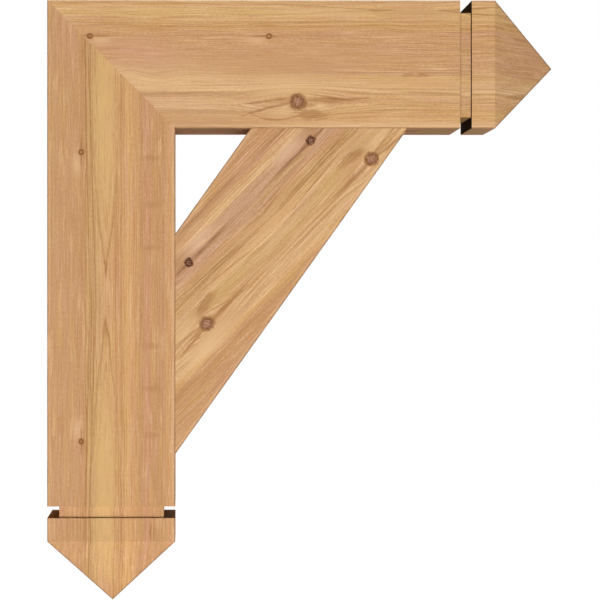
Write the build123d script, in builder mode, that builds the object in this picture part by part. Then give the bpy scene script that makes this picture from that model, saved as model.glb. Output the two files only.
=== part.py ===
from build123d import *
import os
from math import atan2, cos, hypot, sin, tan

# Timber eave bracket: post, beam and brace of square cedar, joined by hidden dowels and screws.
# Millimetres. The origin is where the wall face meets the soffit face, on the bracket's centre
# plane. +X points out from the wall and +Z points up, so the wood hangs below and in front of it.

# Overall size and stock
timber = 139.7  # side of the dressed square stock, the same for all three timbers
projection = 558.8  # wall face to the beam's point
height = 660.4  # soffit face to the post's point
arris = 0.8  # easing along every long edge
saw_waste = 10.0  # extra length on a blank, sawn off again at its cuts

# Groove, block and point at the free ends
groove_width = 12.7
groove_depth = 12.7
end_block = 25.4  # square block between the groove and the point
point_length = 69.85

# Where the brace's long lower edge lands, short of each groove
brace_setback = 57.15

# Fluted hardwood dowels
dowel_diameter = 16.0
dowel_length = 80.0
dowel_chamfer = 1.5
flute_count = 8
flute_depth = 0.9
dowel_clearance = 0.1  # between dowel and bore, all round
glue_gap = 1.0  # past each end of a dowel

# Structural timber screws with a hexagon washer head
thread_diameter = 8.0
thread_length = 70.0
shank_diameter = 5.8
tip_length = 9.0
washer_diameter = 17.0
washer_thickness = 1.6
hexagon_across_flats = 9.5
hexagon_height = 5.0
mitre_screw_length = 150.0
brace_screw_bite = 75.0  # how far a brace screw runs into the brace
thread_clearance = 0.1  # between thread and pilot hole, all round
shank_hole = 9.0  # clearance hole in the timber under the head
tip_gap = 2.0  # pilot hole past the screw's tip
counterbore_diameter = 22.0
counterbore_depth = 14.0

# Layout of the joints
mitre_dowel_inset = 48.0  # from the outer and the inner corner of the mitre, along X and Z
mitre_screw_inset = 44.0  # wall face to the screws
mitre_screw_gauge = 45.0  # centre plane to each screw
brace_screw_gauge = 40.0
window_margin = 32.0  # first dowel from the window's corner
dowel_cover = 20.0  # wood past the end of the last dowel

# Sizes that follow from those above
half = timber / 2
neck = timber - 2 * groove_depth
end_length = groove_width + end_block + point_length
beam_shoulder = projection - end_length
post_shoulder = height - end_length
brace_run = beam_shoulder - brace_setback - timber
brace_drop = post_shoulder - brace_setback - timber
brace_edge = hypot(brace_run, brace_drop)
brace_angle = atan2(brace_drop, brace_run)
foot_contact = timber / cos(brace_angle)
head_contact = timber / sin(brace_angle)
foot_top = timber + brace_drop - foot_contact
head_start = timber + brace_run - head_contact
dowel_reach = dowel_length / 2
brace_screw_length = timber - counterbore_depth + brace_screw_bite

# Cutting planes: each faces away from the wood that is named first
mitre_plane = Plane(origin=(0, 0, 0), x_dir=(0, 1, 0), z_dir=(1, 0, 1))
post_face = Plane(origin=(timber, 0, 0), x_dir=(0, 1, 0), z_dir=(1, 0, 0))
beam_underside = Plane(origin=(0, 0, -timber), x_dir=(1, 0, 0), z_dir=(0, 0, -1))


# Square stock with eased long edges, from its start plane
def square_timber(start, length):
    with BuildSketch(start) as section:
        RectangleRounded(timber, timber, arris)
    extrude(section.sketch, amount=length)


# Square-bottomed groove right round the timber, from its shoulder outwards
def reveal_groove(shoulder):
    with BuildSketch(shoulder) as ring:
        Rectangle(timber + saw_waste, timber + saw_waste)
        Rectangle(neck, neck, mode=Mode.SUBTRACT)
    extrude(ring.sketch, amount=groove_width, mode=Mode.SUBTRACT)


# Four saw cuts, each from one edge of the block's end to the tip
def four_sided_point(block_end):
    out = block_end.z_dir
    tip = block_end.origin + out * point_length
    for side in (block_end.x_dir, block_end.y_dir):
        for facing in (side, -side):
            facet = Plane(origin=tip, z_dir=facing * point_length + out * half)
            split(bisect_by=facet, keep=Keep.BOTTOM)


def decorated_end(shoulder):
    reveal_groove(shoulder)
    four_sided_point(shoulder.offset(groove_width + end_block))


# Blind bores for half of each dowel, from the joint's face into one timber
def bore_for_dowels(faces):
    with Locations(*faces):
        Hole(dowel_diameter / 2 + dowel_clearance, depth=dowel_reach + glue_gap)


# Counterbored clearance holes in the timber that holds the screw heads
def bore_for_heads(seats):
    with Locations(*seats):
        CounterBoreHole(
            shank_hole / 2, counterbore_diameter / 2, counterbore_depth, depth=timber + saw_waste
        )


# Pilot holes for the threads in the timber behind
def bore_for_threads(seats, length):
    with Locations(*seats):
        Hole(thread_diameter / 2 + thread_clearance, depth=counterbore_depth + length + tip_gap)


# Fluted dowel about the origin, along Z
def fluted_dowel():
    with BuildPart() as dowel:
        Cylinder(dowel_diameter / 2, dowel_length)
        chamfer(dowel.edges().filter_by(GeomType.CIRCLE), dowel_chamfer)
        with BuildSketch(Plane.XY) as flutes:
            with PolarLocations(dowel_diameter / 2, flute_count):
                RegularPolygon(flute_depth, side_count=4)
        extrude(amount=dowel_reach, both=True, mode=Mode.SUBTRACT)
    return dowel.part


# Hexagon washer-head screw, head up, with the underside of its washer at the origin
def timber_screw(length):
    with BuildPart() as screw:
        with BuildSketch(Plane.XZ):
            with BuildLine():
                Polyline(
                    (0, -length),
                    (thread_diameter / 2, tip_length - length),
                    (thread_diameter / 2, thread_length - length),
                    (shank_diameter / 2, thread_length - length),
                    (shank_diameter / 2, 0),
                    (washer_diameter / 2, 0),
                    (washer_diameter / 2, washer_thickness),
                    (0, washer_thickness),
                    close=True,
                )
            make_face()
        revolve(axis=Axis.Z)
        with BuildSketch(Plane.XY.offset(washer_thickness)):
            RegularPolygon(hexagon_across_flats / 2, side_count=6, major_radius=False)
        extrude(amount=hexagon_height)
    return screw.part


# Distances from the window's corner along a brace joint: first dowel, screws, last dowel.
# The last dowel stands where the brace is just deep enough to cover its end.
def joint_stations(contact, depth_slope):
    last = contact - (dowel_reach + dowel_cover) / depth_slope
    return window_margin, (window_margin + last) / 2, last


foot_first, foot_middle, foot_last = joint_stations(foot_contact, 1 / tan(brace_angle))
head_first, head_middle, head_last = joint_stations(head_contact, tan(brace_angle))

# Joint faces for the dowels, each turned out of the post or the beam
mitre_joint = [
    Plane(origin=(inset, 0, -inset), z_dir=(1, 0, 1))
    for inset in (mitre_dowel_inset, timber - mitre_dowel_inset)
]
foot_joint = [
    Plane(origin=(timber, 0, -foot_top - station), z_dir=(1, 0, 0))
    for station in (foot_first, foot_last)
]
head_joint = [
    Plane(origin=(head_start + station, 0, -timber), z_dir=(0, 0, -1))
    for station in (head_first, head_last)
]


# Screw places on the beam's top face and on the post's back, turned out of the wood
def top_seats(distance, gauge):
    return [Plane(origin=(distance, y, 0), z_dir=(0, 0, 1)) for y in (-gauge, gauge)]


def back_seats(distance, gauge):
    return [Plane(origin=(0, y, -distance), z_dir=(-1, 0, 0)) for y in (-gauge, gauge)]


mitre_seats = top_seats(mitre_screw_inset, mitre_screw_gauge)
foot_seats = back_seats(foot_top + foot_middle, brace_screw_gauge)
head_seats = top_seats(head_start + head_middle, brace_screw_gauge)

# Post against the wall, mitred at the top, with its groove, block and point at the foot
with BuildPart() as post:
    square_timber(Plane(origin=(half, 0, saw_waste), z_dir=(0, 0, -1)), height + saw_waste)
    split(bisect_by=mitre_plane, keep=Keep.BOTTOM)
    decorated_end(Plane(origin=(half, 0, -post_shoulder), z_dir=(0, 0, -1)))
    bore_for_dowels(mitre_joint + foot_joint)
    bore_for_heads(foot_seats)
    bore_for_threads(mitre_seats, mitre_screw_length)

# Beam under the soffit, mitred at the wall, with its groove, block and point at the free end
with BuildPart() as beam:
    square_timber(Plane(origin=(-saw_waste, 0, -half), z_dir=(1, 0, 0)), projection + saw_waste)
    split(bisect_by=mitre_plane, keep=Keep.TOP)
    decorated_end(Plane(origin=(beam_shoulder, 0, -half), z_dir=(1, 0, 0)))
    bore_for_dowels([-face for face in mitre_joint] + head_joint)
    bore_for_heads(mitre_seats + head_seats)

# Brace, sawn at both ends to sit on the post's inner face and under the beam
with BuildPart() as brace:
    along = Vector(brace_run, 0, brace_drop).normalized()
    across = Vector(-brace_drop, 0, brace_run).normalized()
    lower_foot = Vector(timber, 0, -timber - brace_drop)
    blank_start = lower_foot + across * half - along * saw_waste
    square_timber(
        Plane(origin=blank_start, x_dir=(0, 1, 0), z_dir=along), brace_edge + 2 * saw_waste
    )
    split(bisect_by=post_face, keep=Keep.TOP)
    split(bisect_by=beam_underside, keep=Keep.TOP)
    bore_for_dowels([-face for face in foot_joint + head_joint])
    bore_for_threads(foot_seats + head_seats, brace_screw_length)

# Dowels, half their length in each timber
dowel = fluted_dowel()

with BuildPart() as mitre_dowels:
    with Locations(*mitre_joint):
        add(dowel)

with BuildPart() as brace_foot_dowels:
    with Locations(*foot_joint):
        add(dowel)

with BuildPart() as brace_head_dowels:
    with Locations(*head_joint):
        add(dowel)

# Screws, each with its washer down on the floor of its counterbore
mitre_screw = timber_screw(mitre_screw_length)
brace_screw = timber_screw(brace_screw_length)

with BuildPart() as mitre_screws:
    with Locations(*[seat.offset(-counterbore_depth) for seat in mitre_seats]):
        add(mitre_screw)

with BuildPart() as brace_foot_screws:
    with Locations(*[seat.offset(-counterbore_depth) for seat in foot_seats]):
        add(brace_screw)

with BuildPart() as brace_head_screws:
    with Locations(*[seat.offset(-counterbore_depth) for seat in head_seats]):
        add(brace_screw)

# One file for each sub-part
os.makedirs("parts", exist_ok=True)
pieces = {
    "post": post,
    "beam": beam,
    "brace": brace,
    "mitre_dowels": mitre_dowels,
    "brace_foot_dowels": brace_foot_dowels,
    "brace_head_dowels": brace_head_dowels,
    "mitre_screws": mitre_screws,
    "brace_foot_screws": brace_foot_screws,
    "brace_head_screws": brace_head_screws,
}
for name, piece in pieces.items():
    piece.part.label = name
    export_step(piece.part, f"parts/{name}.step")
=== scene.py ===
import bpy
from math import atan, cos, hypot, pi
from mathutils import Matrix, Vector


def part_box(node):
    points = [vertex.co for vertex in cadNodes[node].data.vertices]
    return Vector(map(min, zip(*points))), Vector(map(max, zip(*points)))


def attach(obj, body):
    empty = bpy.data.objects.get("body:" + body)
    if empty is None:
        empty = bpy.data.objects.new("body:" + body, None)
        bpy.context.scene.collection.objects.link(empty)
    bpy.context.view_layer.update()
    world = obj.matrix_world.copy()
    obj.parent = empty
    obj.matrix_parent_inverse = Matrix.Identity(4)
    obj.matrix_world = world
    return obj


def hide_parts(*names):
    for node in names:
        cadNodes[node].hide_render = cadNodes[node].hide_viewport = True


# Timber eave bracket of planed cedar, seen square on to one side.
# The scene is in metres. Inside the wood, grain and knots are placed in millimetres.
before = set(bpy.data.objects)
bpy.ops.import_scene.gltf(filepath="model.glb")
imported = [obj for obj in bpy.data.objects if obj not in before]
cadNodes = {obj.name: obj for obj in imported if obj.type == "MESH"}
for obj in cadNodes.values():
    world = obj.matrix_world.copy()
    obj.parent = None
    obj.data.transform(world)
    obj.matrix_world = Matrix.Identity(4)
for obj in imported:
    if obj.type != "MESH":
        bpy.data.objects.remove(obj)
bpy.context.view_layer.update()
millimetre = 0.001
timberDepth = 139.7  # millimetres from the front faces to the back faces, the same for all three timbers
halfDepth = timberDepth / 2  # from the middle of a timber to its faces
farAway = 10000.0  # millimetres, to keep a feature off the faces that it doesn't belong to


# Camera: it looks almost square at the front faces, with their vanishing point left of the picture's middle
cameraValues = {
    "place": (0.1475, -3.4938, -0.3272),
    "lens": 188.3,
    "sensor": 36.0,
    "clip": (0.1, 60.0),
    "imageSize": 600,
    "vanishingColumn": 182.4,  # pixels from the left edge of the picture
    "shift": 0.13,  # in widths of the picture; a small turn to the right does the rest
}


def addCamera(values):
    data = bpy.data.cameras.new("camera")
    data.sensor_width = values["sensor"]
    data.lens = values["lens"]
    data.shift_x = values["shift"]
    data.clip_start, data.clip_end = values["clip"]
    focal = values["lens"] / values["sensor"]  # in widths of the picture
    offset = 0.5 - values["vanishingColumn"] / values["imageSize"]
    turn = atan(offset / focal) - atan(values["shift"] / focal)
    camera = bpy.data.objects.new("camera", data)
    camera.location = values["place"]
    camera.rotation_euler = (pi / 2, 0, -turn)
    bpy.context.scene.collection.objects.link(camera)
    bpy.context.scene.camera = camera


addCamera(cameraValues)
bpy.context.scene.view_settings.view_transform = "Standard"
print("camera placed")


# Helpers for node trees
def plug(tree, socket, value):
    if isinstance(value, bpy.types.NodeSocket):
        tree.links.new(value, socket)
    else:
        socket.default_value = value


def addNode(tree, kind, inputs, **settings):
    node = tree.nodes.new(kind)
    for name, value in settings.items():
        setattr(node, name, value)
    for name, value in inputs.items():
        plug(tree, node.inputs[name], value)
    return node


def calc(tree, operation, *values, clamp=False):
    node = addNode(tree, "ShaderNodeMath", {}, operation=operation, use_clamp=clamp)
    for socket, value in zip(node.inputs, values):
        plug(tree, socket, value)
    return node.outputs[0]


def product(tree, first, *others):
    for value in others:
        first = calc(tree, "MULTIPLY", first, value)
    return first


def absolute(tree, value):
    return calc(tree, "ABSOLUTE", value)


def vectorCalc(tree, operation, *values):
    node = addNode(tree, "ShaderNodeVectorMath", {}, operation=operation)
    for socket, value in zip(node.inputs, values):
        plug(tree, socket, value)
    return node.outputs["Value" if operation in ("DOT_PRODUCT", "LENGTH") else "Vector"]


def split(tree, vector):
    return addNode(tree, "ShaderNodeSeparateXYZ", {"Vector": vector}).outputs


def combine(tree, **parts):
    return addNode(tree, "ShaderNodeCombineXYZ", parts).outputs[0]


# Soft step from low at start to high at end
def fade(tree, value, start, end, low=0.0, high=1.0):
    inputs = {"Value": value, "From Min": start, "From Max": end, "To Min": low, "To Max": high}
    return addNode(tree, "ShaderNodeMapRange", inputs, interpolation_type="SMOOTHSTEP").outputs[0]


# One at zero, falling away softly on both sides
def bell(tree, value, width):
    share = calc(tree, "DIVIDE", value, width)
    return calc(tree, "EXPONENT", product(tree, share, share, -0.5))


def mixColour(tree, amount, first, second, blend="MIX"):
    node = addNode(tree, "ShaderNodeMix", {}, data_type="RGBA", blend_type=blend)
    factorSocket, firstSocket, secondSocket = node.inputs[0], node.inputs[6], node.inputs[7]
    plug(tree, factorSocket, amount)
    plug(tree, firstSocket, first)
    plug(tree, secondSocket, second)
    return node.outputs[2]


# Noise whose blobs have a size in millimetres along the grain, across it and into the wood
def grainNoise(tree, position, size, detail=2.0, roughness=0.5, offset=0.0):
    shares = tuple(1 / value for value in size)
    scaled = vectorCalc(tree, "MULTIPLY_ADD", position, shares, (offset, offset, offset))
    inputs = {"Vector": scaled, "Scale": 1.0, "Detail": detail, "Roughness": roughness}
    return addNode(tree, "ShaderNodeTexNoise", inputs).outputs["Fac"]


# A shader group with its own inputs and outputs, whose names are listed by kind
def newGroup(name, inputs, outputs):
    kinds = {"value": "NodeSocketFloat", "vector": "NodeSocketVector", "colour": "NodeSocketColor"}
    tree = bpy.data.node_groups.new(name, "ShaderNodeTree")
    for side, sockets in (("INPUT", inputs), ("OUTPUT", outputs)):
        for kind, labels in sockets.items():
            for label in labels:
                tree.interface.new_socket(name=label, in_out=side, socket_type=kinds[kind])
    given = tree.nodes.new("NodeGroupInput").outputs
    result = tree.nodes.new("NodeGroupOutput").inputs
    return tree, given, result


def placeGroup(tree, group, inputs):
    return addNode(tree, "ShaderNodeGroup", inputs, node_tree=group).outputs


def newMaterial(name):
    material = bpy.data.materials.new(name)
    material.use_nodes = True
    tree = material.node_tree
    return material, tree, tree.nodes["Principled BSDF"]


def addBump(tree, shader, height, strength, distance):
    bump = addNode(tree, "ShaderNodeBump", {"Height": height, "Strength": strength, "Distance": distance})
    plug(tree, shader.inputs["Normal"], bump.outputs["Normal"])


# A colour as it looks on a screen, 0 to 255, turned to the light that the shader needs
def screenColour(red, green, blue):
    channels = []
    for value in (red, green, blue):
        share = value / 255
        channels.append(share / 12.92 if share <= 0.04045 else ((share + 0.055) / 1.055) ** 2.4)
    return (*channels, 1.0)


def grey(amount):
    return (amount, amount, amount, 1.0)


# Floor well below the point, and a plain white surround
floorValues = {
    "height": -1.5,
    "reach": 16.0,
    "colour": grey(0.35),
    "glow": 0.92,
}

# Soft light: an even surround, a key from the camera's side and weaker fills from behind, above and the wall.
# A lamp's level is the share of a face's own colour that it alone would show, square on.
surroundStrength = 0.3
lampValues = {
    "key": {"place": (0.15, -3.4, -0.75), "aim": (0.25, -0.07, -0.33), "size": 0.9, "level": 0.76},
    "backFill": {"place": (1.3, 3.2, 0.3), "aim": (0.25, 0.07, -0.33), "size": 2.2, "level": 0.5},
    "topFill": {"place": (-0.6, 0.9, 2.4), "aim": (0.25, 0.0, -0.1), "size": 1.8, "level": 0.4},
    "wallFill": {"place": (-3.2, 0.7, 0.1), "aim": (0.0, 0.0, -0.33), "size": 1.8, "level": 0.5},
}


# One strength for light that falls on things and another for what the camera, gloss and glass see
def seenStrength(tree, ambient, seen):
    rays = tree.nodes.new("ShaderNodeLightPath").outputs
    looked = calc(tree, "ADD", rays["Is Camera Ray"], rays["Is Glossy Ray"])
    looked = calc(tree, "ADD", looked, rays["Is Transmission Ray"], clamp=True)
    return calc(tree, "MULTIPLY_ADD", looked, seen - ambient, ambient)


def addFloor(values):
    reach, height = values["reach"], values["height"]
    corners = [(x * reach, y * reach, height) for x, y in ((-1, -1), (1, -1), (1, 1), (-1, 1))]
    mesh = bpy.data.meshes.new("floor")
    mesh.from_pydata(corners, [], [(0, 1, 2, 3)])
    floor = bpy.data.objects.new("floor", mesh)
    bpy.context.scene.collection.objects.link(floor)
    material = bpy.data.materials.new("paleFloor")
    material.use_nodes = True
    tree = material.node_tree
    tree.nodes.clear()
    paint = addNode(tree, "ShaderNodeBsdfDiffuse", {"Color": values["colour"]})
    glow = addNode(tree, "ShaderNodeEmission", {"Strength": seenStrength(tree, 0.0, values["glow"])})
    both = addNode(tree, "ShaderNodeAddShader", {0: paint.outputs[0], 1: glow.outputs[0]})
    addNode(tree, "ShaderNodeOutputMaterial", {"Surface": both.outputs[0]})
    mesh.materials.append(material)


def addSurround(strength):
    world = bpy.data.worlds.new("surround")
    bpy.context.scene.world = world
    world.use_nodes = True
    tree = world.node_tree
    tree.nodes.clear()
    inputs = {"Color": grey(1.0), "Strength": seenStrength(tree, strength, 1.0)}
    light = addNode(tree, "ShaderNodeBackground", inputs)
    addNode(tree, "ShaderNodeOutputWorld", {"Surface": light.outputs[0]})


def addLamp(name, values):
    place, aim = Vector(values["place"]), Vector(values["aim"])
    data = bpy.data.lights.new(name, "AREA")
    data.shape = "DISK"
    data.size = values["size"]
    data.energy = values["level"] * (pi * (aim - place).length) ** 2
    lamp = bpy.data.objects.new(name, data)
    lamp.location = place
    lamp.rotation_euler = (aim - place).to_track_quat("-Z", "Y").to_euler()
    bpy.context.scene.collection.objects.link(lamp)


addFloor(floorValues)
addSurround(surroundStrength)
for name, values in lampValues.items():
    addLamp(name, values)
print("floor and light made")


# Noises of the grain. Sizes are in millimetres: along the grain, across it and into the wood. Offsets set
# noises of like sizes apart.
grainNoises = {
    "sway": {"size": (330, 42, 90), "detail": 1.0},
    "ripple": {"size": (55, 11, 70), "offset": 7.0},
    "break": {"size": (110, 4, 20), "offset": 9.0},
    "calm": {"size": (95, 9, 30), "detail": 1.0, "offset": 21.0},
    "fine": {"size": (170, 1.2, 60), "offset": 4.0},
    "bright": {"size": (75, 1.4, 50), "offset": 13.0},
    "fibre": {"size": (45, 1.2, 45), "detail": 3.0, "roughness": 0.6},
    "hue": {"size": (85, 8, 30), "detail": 4.0, "roughness": 0.65, "offset": 3.0},
    "shade": {"size": (50, 6, 24), "detail": 4.0, "roughness": 0.6, "offset": 6.0},
    "speck": {"size": (3.4, 1.7, 3.4), "offset": 11.0},
    "bump": {"size": (45, 1.2, 1.2), "detail": 3.0},
}

# How the growth rings are drawn. A fade is start and end of the noise, then low and high of the result.
ringValues = {
    "sway": 5.0,  # millimetres that the slow sway moves a ring
    "ripple": 3.4,  # millimetres that the ripple moves it
    "drift": {"Scale": 0.05, "Detail": 1.5},  # slow change of ring width
    "driftRings": 4.0,  # rings that it adds at most
    "rise": (0.35, 0.86),  # shares of a ring's width: slow darkening outwards
    "drop": (0.88, 1.0, 1.0, 0.0),  # then a sharp end
    "weakest": 0.15,  # strength of the weakest ring, as a share
    "break": (0.3, 0.58, 0.3, 1.0),
    "calm": (0.4, 0.6, 0.25, 1.0),
    "fine": (0.53, 0.66),
    "bright": (0.52, 0.64),
}


def namedNoise(tree, position, name):
    return grainNoise(tree, position, **grainNoises[name])


# Growth rings, fibres and soft patches, from a place in the wood (along, across, into) in millimetres.
# Layer counts millimetres across the growth rings and is close to the distance across the front face.
def buildGrainGroup(values):
    pith = ["Pith Across", "Pith Depth", "Pith Distance", "Pith Side"]
    lines = ["Ring Line", "Fine Line", "Bright Line", "Break"]
    tree, given, result = newGroup(
        "cedarGrain",
        {"vector": ["Position"], "value": ["Side", "Shift", *pith, "Ring Spacing"]},
        {"value": ["Layer", *lines, "Fibre", "Hue", "Shade", "Speck"]},
    )
    position = given["Position"]
    place = split(tree, position)
    across = calc(tree, "SUBTRACT", place["Y"], given["Pith Across"])
    depth = calc(tree, "SUBTRACT", place["Z"], given["Pith Depth"])
    radius = calc(tree, "SQRT", calc(tree, "ADD", product(tree, across, across), product(tree, depth, depth)))
    layer = product(tree, calc(tree, "SUBTRACT", radius, given["Pith Distance"]), given["Pith Side"])
    sway = calc(tree, "SUBTRACT", namedNoise(tree, position, "sway"), 0.5)
    ripple = calc(tree, "SUBTRACT", namedNoise(tree, position, "ripple"), 0.5)
    layer = calc(tree, "MULTIPLY_ADD", sway, values["sway"], layer)
    layer = calc(tree, "MULTIPLY_ADD", ripple, values["ripple"], layer)
    layer = calc(tree, "ADD", layer, given["Shift"])

    # Fine grain runs in streaks that lie in the face: across the front by the layers, across a side by depth
    bent = calc(tree, "MULTIPLY_ADD", ripple, values["ripple"], place["Z"])
    frontFlow = combine(tree, X=place["X"], Y=layer, Z=bent)
    sideFlow = combine(tree, X=place["X"], Y=bent, Z=layer)
    mix = addNode(tree, "ShaderNodeMix", {}, data_type="VECTOR")
    plug(tree, mix.inputs[0], given["Side"])
    plug(tree, mix.inputs[4], frontFlow)
    plug(tree, mix.inputs[5], sideFlow)
    flow = mix.outputs[1]

    # Rings of uneven width and strength
    inputs = {"W": layer, **values["drift"]}
    drift = addNode(tree, "ShaderNodeTexNoise", inputs, noise_dimensions="1D").outputs["Fac"]
    ringCount = calc(tree, "DIVIDE", layer, given["Ring Spacing"])
    ringCount = calc(tree, "MULTIPLY_ADD", drift, values["driftRings"], ringCount)
    part = calc(tree, "FRACT", ringCount)
    inputs = {"W": calc(tree, "FLOOR", ringCount)}
    chance = addNode(tree, "ShaderNodeTexWhiteNoise", inputs, noise_dimensions="1D").outputs["Value"]
    rise = fade(tree, part, *values["rise"])
    drop = fade(tree, part, *values["drop"])
    strength = calc(tree, "MULTIPLY_ADD", chance, 1.0 - values["weakest"], values["weakest"])
    gap = fade(tree, namedNoise(tree, flow, "break"), *values["break"])
    calm = fade(tree, namedNoise(tree, flow, "calm"), *values["calm"])
    fine = fade(tree, namedNoise(tree, flow, "fine"), *values["fine"])
    bright = fade(tree, namedNoise(tree, flow, "bright"), *values["bright"])
    plug(tree, result["Layer"], layer)
    plug(tree, result["Ring Line"], product(tree, rise, rise, drop, strength, gap))
    plug(tree, result["Fine Line"], product(tree, fine, calm))
    plug(tree, result["Bright Line"], product(tree, bright, calm))
    plug(tree, result["Break"], gap)
    for name in ("Fibre", "Hue", "Shade", "Speck"):
        plug(tree, result[name], namedNoise(tree, flow, name.lower()))
    return tree


# The same place as each kind of feature sees it. Mirrored ones lie at equal distances from the mirror line,
# and on a side face across and depth change over. Far away keeps a feature off faces that aren't its own.
def featurePlaces(tree, position, side, mirror):
    place = split(tree, position)
    fold = absolute(tree, calc(tree, "SUBTRACT", place["X"], mirror))
    deep = calc(tree, "MULTIPLY_ADD", side, farAway, place["Z"])
    beyond = calc(tree, "MULTIPLY_ADD", side, -farAway, calc(tree, "ADD", place["Y"], farAway))
    return {
        "front": combine(tree, X=place["X"], Y=place["Y"], Z=deep),
        "mirrored": combine(tree, X=fold, Y=place["Y"], Z=deep),
        "side": combine(tree, X=place["X"], Y=place["Z"], Z=beyond),
    }


# Distances from a centre, and a mask that ends at the feature's depth in the wood
depthFade = (0.55, 1.0, 1.0, 0.0)  # start and end in shares of that depth, then low and high of the mask


def addDistances(tree, given):
    away = split(tree, vectorCalc(tree, "SUBTRACT", given["Position"], given["Centre"]))
    share = calc(tree, "DIVIDE", absolute(tree, away["Z"]), given["Depth"])
    return away["X"], away["Y"], fade(tree, share, *depthFade)


# Noises that all knots, smudges and eyes share, so that no outline is smooth. They centre on zero.
# Sizes are in millimetres, along the grain and across it.
sharedNoises = {
    "Wander": (3.6, 3.6),
    "Grit": (9, 1.6),
    "Streak": (20, 0.9),
    "Fleck": (1.5, 1.5),
    "Wave": (38, 5),
}


def buildNoiseGroup(sizes):
    tree, given, result = newGroup("cedarNoises", {"vector": ["Position"]}, {"value": list(sizes)})
    for name, (along, across) in sizes.items():
        noise = grainNoise(tree, given["Position"], (along, across, across), detail=3.0, offset=along)
        plug(tree, result[name], calc(tree, "SUBTRACT", noise, 0.5))
    return tree


# Rings pushed aside or lifted, so that the grain flows round a knot
def buildFlowGroup():
    values = ["Depth", "Reach Along", "Reach Across", "Push", "Swell", "Shift"]
    inputs = {"vector": ["Position", "Centre"], "value": values}
    tree, given, result = newGroup("cedarFlow", inputs, {"value": ["Shift"]})
    along, across, inside = addDistances(tree, given)
    nearAlong = bell(tree, along, given["Reach Along"])
    nearAcross = bell(tree, across, given["Reach Across"])
    share = calc(tree, "DIVIDE", across, given["Reach Across"])
    lift = calc(tree, "SUBTRACT", given["Swell"], product(tree, share, given["Push"]))
    lift = product(tree, lift, nearAlong, nearAcross, inside)
    plug(tree, result["Shift"], calc(tree, "ADD", given["Shift"], lift))
    return tree


# Proportions of a knot. Places and widths are in knot radii from its centre where nothing else is said.
# A fade is start and end of a place or a noise, then low and high of the result.
knotShape = {
    "squash": 0.92,  # along the grain
    "palePatch": (2.6, 0.95),  # along and across
    "tailTip": 0.1,  # thickness left at the end of a tail, as a share
    "tailBend": 1.2,  # millimetres that the noise moves a tail
    "tailFade": (0.0, 0.6),  # shares of a tail's length, from its tip
    "streaks": (-0.15, 0.08, 0.35, 1.0),
    "collar": (0.92, 1.2, 0.8, 0.0),
    "barBend": 0.6,  # bar spacings that the noise moves a bar
    "barWidth": 0.15,  # in bar spacings
    "barAmount": 0.9,
    "ringAmount": 0.85,
    "rim": (0.86, 0.06),  # place and width
    "fleckReach": (0.8, 1.0, 1.0, 0.0),
    "darkFlecks": (-0.14, 0.06, 0.4, 0.0),
    "paleFlecks": (0.04, 0.2, 0.0, 0.3),
    "fleckTint": (0.05, 0.022, 0.012, 1.0),  # as light, not as on a screen
}


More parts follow.
